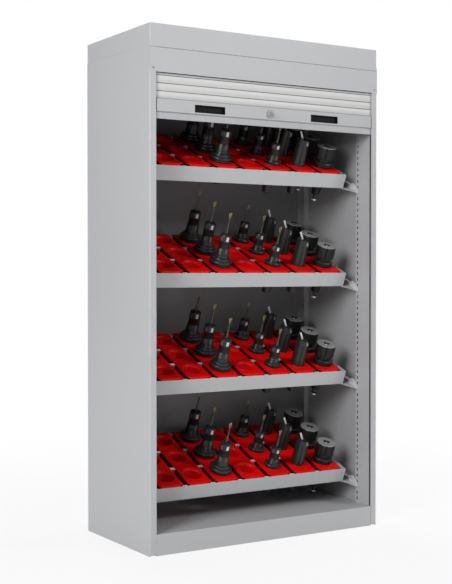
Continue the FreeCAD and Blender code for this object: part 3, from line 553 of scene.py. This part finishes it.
def large_chuck_unit():
    """Stepped flange, tapered body and nut with flats."""
    # Slot 5 marks the flange's rims and chamfers in a painted highlight; slot 1 is the matt band and also
    # painted shade in the flange's groove.
    profile = taper(92.0) + [
        (37.0, 0.0), (37.0, 5.3), (44.2, 5.5, 5), (45.0, 6.6, 5), (45.0, 10.4), (42.6, 11.6, 1),
        (42.6, 13.0, 1), (45.0, 14.2), (45.0, 19.6), (44.0, 21.2, 5), (36.4, 21.6, 5), (35.8, 22.4, 1),
        (35.8, 30.4), (34.6, 32.4, 5), (29.0, 34.4), (26.6, 42.0), (25.8, 50.0), (25.4, 51.0), (25.4, 52.5),
        (24.4, 71.0), (23.4, 72.6), (22.4, 73.4, 1), (22.4, 98.4, 1), (23.0, 99.4), (23.6, 100.6),
        (23.6, 104.0), (23.6, 104.5), (23.4, 122.0), (23.2, 122.5), (21.6, 127.4), (17.0, 130.4),
        (9.5, 131.2), (7.6, 128.6), (0, 128.6)]
    # The nut's flat that faces the front takes slot 4, a painted highlight.
    unit = flats(lathe(profile, 72), 104.2, 122.2, 23.5, width=13.0)
    return flats(unit, 52.2, 71.4, 24.9, width=11.0, turn=-85.0, front_slot=3)


def small_chuck_unit():
    """Red collar, grooved flange, and a body and nut with flats."""
    # Slot 6 marks the flange's rims in a painted highlight; slot 1 is the matt band and also painted shade
    # in the flange's groove.
    profile = taper(122.0) + [
        (40.0, 0.0, 5), (40.0, 0.6, 5), (33.2, 0.8, 5), (34.4, 1.8, 6), (34.4, 5.4), (32.8, 6.4, 1),
        (32.8, 7.6, 1), (34.4, 8.6), (34.4, 12.0), (33.4, 13.4, 6), (26.4, 13.8, 6), (25.4, 17.4),
        (22.4, 18.6), (20.8, 21.4), (20.8, 22.5), (20.8, 36.0), (20.2, 37.4), (19.4, 38.4, 1),
        (19.4, 61.2, 1), (20.2, 62.4), (20.8, 64.0), (20.8, 66.0), (20.8, 66.5), (20.5, 80.5),
        (20.2, 81.0), (18.8, 84.6), (16.0, 86.6), (9.0, 87.0), (7.6, 85.0), (0, 85.0)]
    # The nut's flat that faces the front takes slot 4, a painted highlight.
    unit = flats(lathe(profile, 72), 66.2, 80.8, 20.7)
    return flats(unit, 22.2, 36.2, 20.8, width=8.0, turn=-85.0, front_slot=3)


def boring_bar_unit(low, high):
    """Round bar that narrows, with a small head below its tip."""
    profile = [(0, low - 3), (4.6, low - 3), (4.4, low + 16), (3.7, low + 20), (3.0, high - 8),
               (3.2, high - 4), (4.0, high), (4.0, high + 2.0), (0, high + 2.0)]
    return lathe(profile, 20)


def bar_tip_unit(high):
    """V-shaped tip: two plates that lean apart on a small head."""
    arm = [(-4.6, high + 1.0), (0.2, high - 2.0), (1.2, high + 5.0), (-4.6, high + 23.0),
           (-9.0, high + 19.0)]
    other = [(-x, z) for x, z in arm][::-1]
    return joined([prism(arm, 3.4, 0.4), prism(other, 3.4, 0.4)])


def at_bars(make):
    """Bars or tips on both chucks of all trays; those under the drum cover are shorter."""
    spin = Matrix.Rotation(math.radians(25), 4, "Z")
    units = []
    for k in range(tray_count):
        for row in range(row_count):
            cut = short_bar_cut if k == 0 and row == row_count - 1 else 0.0
            for column, top, length in ((large_column, large_chuck_top, large_bar_length),
                                        (small_column, small_chuck_top, small_bar_length)):
                high = top + length - cut
                units.append(moved(make(top, high), socket_place(k, column, row, socket_top) @ spin))
    return joined(units)


def boring_head_unit():
    """Red collar and a twenty-sided cutter body with a groove, a facet and a slanted top."""
    radii = [(40.0, 0.0), (40.0, 0.6), (28.6, 0.8), (29.4, 1.6), (29.0, 6.0), (25.4, 110.0), (24.4, 115.6)]
    collar_slot = 3
    made = bmesh.new()
    body, body_faces, _ = lathe(taper(122.0) + radii + [(0, 116.0)], 20)
    mesh_verts = [made.verts.new(v) for v in body]
    for face in body_faces:
        made.faces.new([mesh_verts[i] for i in face])
    bmesh.ops.recalc_face_normals(made, faces=made.faces[:])
    cutters = [
        block((3.0, -40.0, 86.0), (40.0, -15.0, 150.0)),
        moved(block((-2.4, -40.0, 8.0), (2.4, -23.0, 90.0)), Matrix.Rotation(math.radians(-24), 4, "Z")),
        moved(block((-60.0, -60.0, 0.0), (60.0, 60.0, 60.0)),
              Matrix.Translation((0, 0, 108.0)) @ Matrix.Rotation(math.radians(14), 4, "Y")),
    ]
    target = bpy.data.meshes.new("boring_body")
    made.to_mesh(target)
    made.free()
    verts, faces, slots = boolean_cut(target, cutters)
    for i, face in enumerate(faces):
        heights = [verts[v][2] for v in face]
        if 0.01 < max(heights) < 0.9:
            slots[i] = collar_slot
    return verts, faces, slots


def boolean_cut(target, cutters):
    """Cut units out of a mesh, and give the result as a unit."""
    collection = bpy.context.scene.collection
    body = bpy.data.objects.new("cut_body", target)
    collection.objects.link(body)
    tools = []
    for verts, faces, _ in cutters:
        mesh = bpy.data.meshes.new("cutter")
        mesh.from_pydata(verts.tolist(), [], faces)
        tool = bpy.data.objects.new("cutter", mesh)
        collection.objects.link(tool)
        modifier = body.modifiers.new("cut", "BOOLEAN")
        modifier.operation, modifier.solver, modifier.object = "DIFFERENCE", "EXACT", tool
        tools.append(tool)
    graph = bpy.context.evaluated_depsgraph_get()
    graph.update()
    result = bpy.data.meshes.new_from_object(body.evaluated_get(graph))
    made = bmesh.new()
    made.from_mesh(result)
    bmesh.ops.remove_doubles(made, verts=made.verts[:], dist=1e-4)
    unit = unit_of(made)
    for tool in tools + [body]:
        bpy.data.objects.remove(tool)
    return unit


def face_mill_unit():
    """Flange, neck and fluted head with a three-lobed screw recess in its flat top."""
    profile = taper(122.0) + [
        (37.0, 0.0), (37.0, 7.8), (41.2, 8.0), (42.0, 8.8, 5), (42.0, 12.6), (40.4, 13.4), (40.4, 15.4),
        (42.0, 16.2), (42.0, 19.2), (40.6, 21.0, 5), (30.0, 21.2, 5), (29.0, 22.2), (29.0, 33.2),
        (30.4, 34.6), (38.4, 35.0), (39.4, 36.2), (39.7, 38.0), (39.7, 85.6), (39.2, 87.4, 1),
        (38.4, 88.0, 1), (16.0, 88.0, 1), (15.6, 87.4, 3), (15.4, 72.0, 3), (4.6, 72.0, 3), (4.2, 84.2, 4),
        (3.4, 85.4, 4), (0, 85.4, 4)]
    # Slot 3, the screw recess's walls and floor, is painted shade; slot 4, the screw's tip, and slot 5, the
    # flange rims, are painted highlights.
    verts, faces, slots = lathe(profile, 72)
    angle = np.arctan2(verts[:, 1], verts[:, 0])
    radius = np.hypot(verts[:, 0], verts[:, 1])
    side = (verts[:, 2] > 36.5) & (verts[:, 2] < 87.0) & (radius > 33)
    flute = np.cos(9 * angle) > 0.80
    shrink = np.where(side & flute, 0.93, 1.0)
    recess = (verts[:, 2] > 71.0) & (radius > 14.0) & (radius < 16.5)
    shrink = np.where(recess, 0.82 + 0.18 * np.cos(3 * angle + 0.6), shrink)
    verts[:, 0] *= shrink
    verts[:, 1] *= shrink
    return verts, faces, slots


piece("collet_chucks_large", at_sockets(large_chuck_unit(), [large_column], socket_top),
      [holder_steel, holder_matt_and_groove_shade, ground_steel, side_flat, pale_steel_painted_highlight, rim_painted_highlight],
      replaces=["large_chucks"])
piece("collet_chucks_small", at_sockets(small_chuck_unit(), [small_column], socket_top),
      [holder_steel, holder_matt_and_groove_shade, ground_steel, side_flat, pale_steel_painted_highlight, red_plastic, rim_painted_highlight],
      replaces=["small_chucks"])
piece("boring_bars_round", at_bars(boring_bar_unit), [bar_steel], replaces=["boring_bars"])
piece("boring_bar_tips", at_bars(lambda low, high: bar_tip_unit(high)), [gold],
      replaces=["bar_tips"])
piece("boring_heads_cut", at_sockets(boring_head_unit(), [tall_column], socket_top),
      [holder_steel, holder_matt_and_groove_shade, ground_steel, red_plastic], replaces=["boring_heads"])
# The cutting plates are pale steel with a painted highlight in their colour.
cutting_plate = moved(block((-3.6, -2.4, -18.0), (3.6, 2.4, 18.0), 0.8),
                      Matrix.Translation((-17.0, -4.0, 129.0))
                      @ Matrix.Rotation(math.radians(-30), 4, "Y"))
leaf = [(10.0 + 7.6 * math.sin(a) ** 3 - 1.6 * math.cos(a), 93.0 + 13.5 * math.cos(a))
        for a in (2 * math.pi * k / 20 for k in range(20))]
pocket_plate = moved(prism(leaf, 2.4), Matrix.Translation((0, -16.0, 0)))
piece("boring_head_plates", at_sockets(cutting_plate, [tall_column], socket_top), [pale_steel_painted_highlight],
      replaces=["cutting_plates"])
piece("boring_head_pockets", at_sockets(pocket_plate, [tall_column], socket_top), [mill_top])
piece("face_mills_fluted", at_sockets(face_mill_unit(), [wide_column], socket_top),
      [holder_matt_and_groove_shade, mill_top, ground_steel, black_plastic, pale_steel_painted_highlight, rim_painted_highlight], replaces=["face_mills"])
stud = lathe([(0, -149.0), (8.5, -149.0, 1), (11.4, -147.4, 1), (11.8, -145.6, 1), (11.8, -141.0, 1),
              (10.0, -139.4), (6.0, -138.2), (6.0, -129.0), (9.4, -128.2), (9.4, -123.4), (8.0, -122.2),
              (0, -122.2)], 24)
piece("pull_studs_turned", at_sockets(stud, [wide_column], socket_top), [holder_steel, bright_steel],
      replaces=["pull_studs"])


# Slotted posts behind the jambs

def post_unit(y0, y1, slot_y, side):
    """Channel open to the side wall; its web has a full row of slots."""
    x_face, x_in, x_wall, t = 501.0, 502.5, 526.2, 1.5
    z0, z1 = 79.0, 1774.0
    slot_half_width, slot_half_height = 3.4, 6.0
    levels = [slot_first + slot_pitch * k for k in range(slot_count)]
    rows = [z0]
    for level in levels:
        rows += [level - slot_half_height, level + slot_half_height]
    rows.append(z1)
    cols = [y0, slot_y - slot_half_width, slot_y + slot_half_width, y1]
    made = bmesh.new()

    def quad(*points):
        made.faces.new([made.verts.new((side * x, y, z)) for x, y, z in points])

    for i, (a, b) in enumerate(zip(rows, rows[1:])):
        is_slot = i % 2 == 1
        for j in range(3):
            c, d = cols[j], cols[j + 1]
            if j == 1 and is_slot:
                quad((x_face, c, a), (x_in, c, a), (x_in, c, b), (x_face, c, b))
                quad((x_face, d, a), (x_in, d, a), (x_in, d, b), (x_face, d, b))
                quad((x_face, c, a), (x_face, d, a), (x_in, d, a), (x_in, c, a))
                quad((x_face, c, b), (x_face, d, b), (x_in, d, b), (x_in, c, b))
                continue
            quad((x_face, c, a), (x_face, d, a), (x_face, d, b), (x_face, c, b))
            c_in, d_in = max(c, y0 + t), min(d, y1 - t)
            quad((x_in, c_in, a), (x_in, d_in, a), (x_in, d_in, b), (x_in, c_in, b))
        for y_out, y_in in ((y0, y0 + t), (y1, y1 - t)):
            quad((x_face, y_out, a), (x_wall, y_out, a), (x_wall, y_out, b), (x_face, y_out, b))
            quad((x_in, y_in, a), (x_wall, y_in, a), (x_wall, y_in, b), (x_in, y_in, b))
            quad((x_wall, y_out, a), (x_wall, y_in, a), (x_wall, y_in, b), (x_wall, y_out, b))
    for z in (z0, z1):
        for y_out, y_in in ((y0, y0 + t), (y1, y1 - t)):
            quad((x_face, y_out, z), (x_wall, y_out, z), (x_wall, y_in, z), (x_in, y_in, z),
                 (x_face, y_in, z))
        ys = [y0 + t] + cols[1:3] + [y1 - t]
        for c, d in zip(ys, ys[1:]):
            quad((x_face, c, z), (x_in, c, z), (x_in, d, z), (x_face, d, z))
    bmesh.ops.remove_doubles(made, verts=made.verts[:], dist=1e-4)
    return unit_of(made)


for word, side in (("right", 1), ("left", -1)):
    piece("post_front_" + word, post_unit(-247.8, -159.8, front_slot_y, side), [inner_paint],
          replaces=["front_upright_" + word], sharp=25)
    piece("post_rear_" + word, post_unit(208.2, 259.2, rear_slot_y, side), [inner_paint],
          replaces=["rear_upright_" + word], sharp=25)


# Lock: rosette, plug and key

lock_y, lock_z = -262.2, 1652.6
face_front = Matrix.Rotation(math.radians(90), 4, "X")
lock_place = Matrix.Translation((0, lock_y, lock_z)) @ face_front
# Slot 1, on the rosette's rim and the groove round the plug, is painted shade.
rosette = lathe([(0, -12.5), (10.0, -12.5), (10.0, 0.0), (15.8, 0.0, 1), (16.0, 0.4, 1), (16.0, 1.0, 1),
                 (15.4, 1.6, 1), (13.6, 2.0, 1), (10.2, 2.6), (9.4, 2.2, 1), (7.6, 2.0, 1), (7.2, 2.4),
                 (6.8, 2.4), (6.6, -1.0), (0, -1.0)], 64)
piece("lock_rosette", moved(rosette, lock_place), [lock_metal, lock_edge_painted_shade], body="roll_front",
      replaces=["lock_barrel"])
plug = lathe([(0, -12.9), (6.4, -12.9), (6.4, 3.4), (6.0, 4.0), (0, 4.0)], 48)
# The keyway is a near-black plate, painted shade.
keyway = block((-1.1, -4.0, 3.4), (1.1, 4.0, 4.1), 0.2, material=1)
piece("lock_plug_turned", moved(joined([plug, keyway]), lock_place), [lock_metal, slot_painted_shade],
      body="lock", replaces=["lock_plug"])


def key_unit():
    """Key's bow: a flat plate with round sides and an eye."""
    made = bmesh.new()
    outline = [(4.0, -4.0), (8.0, -4.0)]
    for k in range(25):
        a = math.radians(-120 + 240 * k / 24)
        outline.append((14.0 + 6.0 * math.cos(a), 11.0 * math.sin(a)))
    outline += [(8.0, 4.0), (4.0, 4.0)]
    eye = [(14.5 + 3.3 * math.cos(a), 3.3 * math.sin(a))
           for a in (2 * math.pi * k / 24 for k in range(24))]
    layers = []
    for x in (-1.1, 1.1):
        layers.append(([made.verts.new((x, -v, u)) for u, v in outline],
                       [made.verts.new((x, -v, u)) for u, v in eye]))
    for outer, inner in layers:
        edges = [made.edges.new((a, b)) for ring in (outer, inner)
                 for a, b in zip(ring, ring[1:] + ring[:1])]
        bmesh.ops.triangle_fill(made, edges=edges, use_beauty=True)
    for which in (0, 1):
        near, far = layers[0][which], layers[1][which]
        for a, b, c, d in zip(near, near[1:] + near[:1], far[1:] + far[:1], far):
            made.faces.new((a, b, c, d))
    return unit_of(made)


piece("lock_key_bow", moved(key_unit(), lock_place), [plain_steel], body="lock", replaces=["lock_key"])

# Fascia screws and levelling feet

# The screw head's slot is near black, painted shade.
screw = lathe([(0, -8.0), (1.9, -8.0), (1.9, 0.0), (4.2, 0.0), (4.2, 0.8), (3.4, 1.8), (2.0, 2.2),
               (1.7, 1.4, 1), (0, 1.4, 1)], 32)
piece("fascia_screw_heads", joined([moved(screw, Matrix.Translation((x, front, 1787.5)) @ face_front)
                                    for x in (-513.5, 513.5)]), [plain_steel, slot_painted_shade],
      replaces=["fascia_screws"])
foot = lathe([(0, 0), (21.5, 0), (22.0, 0.5), (22.0, 4.0), (19.0, 8.0), (5.0, 9.0), (5.0, 28.3, 1),
              (8.0, 28.4, 1), (8.5, 29.0, 1), (8.5, 36.0, 1), (8.0, 36.6, 1), (5.0, 36.65, 1),
              (5.0, 42.2, 1), (0, 42.7, 1)], 40)
feet = [Matrix.Translation((x, y, 0)) for x in (-496.2, 496.2) for y in (-202.5, 229.2)]
piece("levelling_feet_turned", joined([moved(foot, m) for m in feet]), [rubber, plain_steel],
      replaces=["levelling_feet"])


# Slat run between the straight slats and the coil, folded up at rest and open when the front is down

slat_pitch, slat_gap = 28.8, 0.3
slat_rear_y, slat_front_y, joint_front_y = -249.65, -255.65, -254.0
slat_bulge = 2.4
run_low, run_high = 1822.5, 1857.5
front_travel = -1525.7


def slat_run():
    """Slats and joints at the heights that the blend carries to their places when the front is shut."""
    section = [(slat_front_y + slat_bulge - slat_bulge * (1 - (2 * i / 8 - 1) ** 2), i / 8)
               for i in range(9)]

    def rest_height(final):
        """Height at rest of what stands at the final height when the front is shut, by halving."""
        a, b = 0.0, 1.0
        for _ in range(50):
            t = (a + b) / 2
            z = run_high - (run_high - run_low) * t + t * t * (3 - 2 * t) * front_travel
            a, b = (t, b) if z > final else (a, t)
        return run_high - (run_high - run_low) * (a + b) / 2

    units = []
    bottom = run_low + front_travel
    count = int((run_high - bottom) / slat_pitch) + 1
    for i in range(count):
        z0 = bottom + slat_pitch * i + slat_gap
        z1 = min(z0 + slat_pitch - 2 * slat_gap, run_high)
        if z1 - z0 < 2:
            continue
        heights = [z0 + (z1 - z0) * share for _, share in section]
        outline = [(slat_rear_y, z1), (slat_rear_y, z0)] + [(y, z) for (y, _), z in zip(section, heights)]
        joint = [(slat_rear_y - 0.95, z0 + 1.0), (slat_rear_y - 0.95, z0 - 1.6),
                 (joint_front_y, z0 - 1.6), (joint_front_y, z0 + 1.0)]
        for half, section_points, slot in ((509.0, outline, 0), (502.0, joint, 1)):
            n = len(section_points)
            verts = [(x, y, rest_height(z)) for x in (-half, half) for y, z in section_points]
            faces = [list(range(n))[::-1], list(range(n, 2 * n))]
            faces += [[k, (k + 1) % n, n + (k + 1) % n, n + k] for k in range(n)]
            units.append((np.array(verts, float), faces, [slot] * len(faces)))
    return joined(units)


leader = piece("slat_run", slat_run(), [slat_plastic, joint_grey], body=None)
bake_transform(leader)
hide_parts("leader_slats")

# Dark joints between the slats, and the black brush that the slats pass on their way into the header, which
# is also painted shade under the fascia's edge

def slat_joints():
    """Strips in the joints between the straight slats, and one above the bottom rail."""
    first_z, half, rear_y = 1678.5, 502.0, -250.6
    strips = [block((-half, joint_front_y, first_z + 0.1), (half, rear_y, first_z + 2.3), 0.2)]
    for i in range(1, 5):
        z = first_z + slat_pitch * i - slat_gap
        strips.append(block((-half, joint_front_y, z - 1.3), (half, rear_y, z + 1.3), 0.2))
    return joined(strips)


piece("slat_hinge_joints", slat_joints(), [joint_grey], body="roll_front")
piece("header_brush_shade", block((-500.8, -260.8, 1772.2), (500.8, -256.2, 1779.0), 0.3), [brush_black_shade])

# Materials of the pieces that keep their solids

finishes = [
    (body_paint, ["top_cap", "header_fascia", "floor_pan"]),
    (right_paint_inner_shade, ["side_panel_right"]),
    (left_paint_inner_shade, ["side_panel_left"]),
    (back_paint_inner_shade, ["back_panel"]),
    (ceiling_painted_shade, ["drum_cover"]),
    (inner_paint, ["floor_ribs", "closing_strip"]),
    (tray_paint, ["tray_frame_1", "tray_frame_2", "tray_frame_3", "tray_frame_4"]),
    (rail_paint, ["bottom_rail"]),
    (slat_plastic, ["wound_slats", "roll_slats"]),
    (cap_plastic, ["slat_end_caps"]),
    (guide_plastic, ["guide_rail_right", "guide_rail_left", "drum_discs", "rail_end_caps"]),
    (black_plastic, ["handle_cups"]),
    (plain_steel, ["keeper_plate", "base_corners", "drum_bracket_right", "drum_bracket_left",
                   "drum_axle", "torsion_spring", "drum_tube", "lock_cam"]),
]
for material, names in finishes:
    for name in names:
        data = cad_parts[name].data
        data.materials.clear()
        data.materials.append(material)

# Floor, world and lamps

def floor_white():
    """Diffuse floor that camera and glossy rays see as white, a little less near the cabinet."""
    near, far, near_share = 0.9, 3.2, 0.84
    made = bpy.data.materials.new("floor_white")
    made.use_nodes = True
    tree = made.node_tree
    tree.nodes.remove(tree.nodes["Principled BSDF"])
    diffuse = node(tree, "ShaderNodeBsdfDiffuse", (-400, 0))
    diffuse.inputs["Color"].default_value = (0.8, 0.8, 0.8, 1)
    glow = node(tree, "ShaderNodeEmission", (-400, -200))
    path = node(tree, "ShaderNodeLightPath", (-800, 200))
    either = node(tree, "ShaderNodeMath", (-600, 200))
    either.operation = "MAXIMUM"
    tree.links.new(path.outputs["Is Camera Ray"], either.inputs[0])
    tree.links.new(path.outputs["Is Glossy Ray"], either.inputs[1])
    where = node(tree, "ShaderNodeTexCoord", (-1200, 400))
    distance = node(tree, "ShaderNodeVectorMath", (-1000, 400))
    distance.operation = "LENGTH"
    tree.links.new(where.outputs["Object"], distance.inputs[0])
    spread = node(tree, "ShaderNodeMapRange", (-800, 400))
    spread.inputs["From Min"].default_value = near
    spread.inputs["From Max"].default_value = far
    spread.inputs["To Min"].default_value = near_share
    spread.inputs["To Max"].default_value = 1.0
    tree.links.new(distance.outputs["Value"], spread.inputs["Value"])
    share = node(tree, "ShaderNodeMath", (-400, 200))
    share.operation = "MULTIPLY"
    tree.links.new(either.outputs[0], share.inputs[0])
    tree.links.new(spread.outputs["Result"], share.inputs[1])
    mix = node(tree, "ShaderNodeMixShader", (-200, 0))
    tree.links.new(share.outputs[0], mix.inputs[0])
    tree.links.new(diffuse.outputs[0], mix.inputs[1])
    tree.links.new(glow.outputs[0], mix.inputs[2])
    tree.links.new(mix.outputs[0], tree.nodes["Material Output"].inputs["Surface"])
    return made


floor_mesh = bpy.data.meshes.new("floor")
floor_mesh.from_pydata([(-9, -9, 0), (9, -9, 0), (9, 9, 0), (-9, 9, 0)], [], [(0, 1, 2, 3)])
floor_mesh.materials.append(floor_white())
floor = bpy.data.objects.new("floor", floor_mesh)
bpy.context.scene.collection.objects.link(floor)


def studio_world():
    """White for camera rays, and a weak even light for all others."""
    fill_level = 0.14
    world = bpy.data.worlds.new("studio")
    world.use_nodes = True
    tree = world.node_tree
    background = tree.nodes["Background"]
    background.inputs["Color"].default_value = (1, 1, 1, 1)
    path = node(tree, "ShaderNodeLightPath", (-800, 200))
    level = node(tree, "ShaderNodeMapRange", (-400, 200))
    level.inputs["To Min"].default_value = fill_level
    level.inputs["To Max"].default_value = 1.0
    tree.links.new(path.outputs["Is Camera Ray"], level.inputs["Value"])
    tree.links.new(level.outputs["Result"], background.inputs["Strength"])
    return world


bpy.context.scene.world = studio_world()


def softbox(name, place, size, power):
    """Rectangular lamp that points at the middle of the cabinet."""
    lamp = bpy.data.lights.new(name, "AREA")
    lamp.shape, lamp.size, lamp.size_y = "RECTANGLE", size[0], size[1]
    lamp.energy = power
    obj = bpy.data.objects.new(name, lamp)
    bpy.context.scene.collection.objects.link(obj)
    obj.location = place
    obj.rotation_mode = "QUATERNION"
    obj.rotation_quaternion = (Vector((0, 0, 1.0)) - Vector(place)).to_track_quat("-Z", "Y")


softbox("key_front", (3.1, -4.6, 3.8), (1.4, 1.8), 108)
softbox("fill_left", (-4.8, -2.7, 2.9), (2.0, 2.6), 228)
softbox("fill_right", (5.4, 0.5, 2.9), (2.0, 2.4), 170)
softbox("fill_back", (0.6, 5.4, 2.9), (2.6, 2.4), 150)

bpy.context.scene.view_settings.view_transform = "Standard"
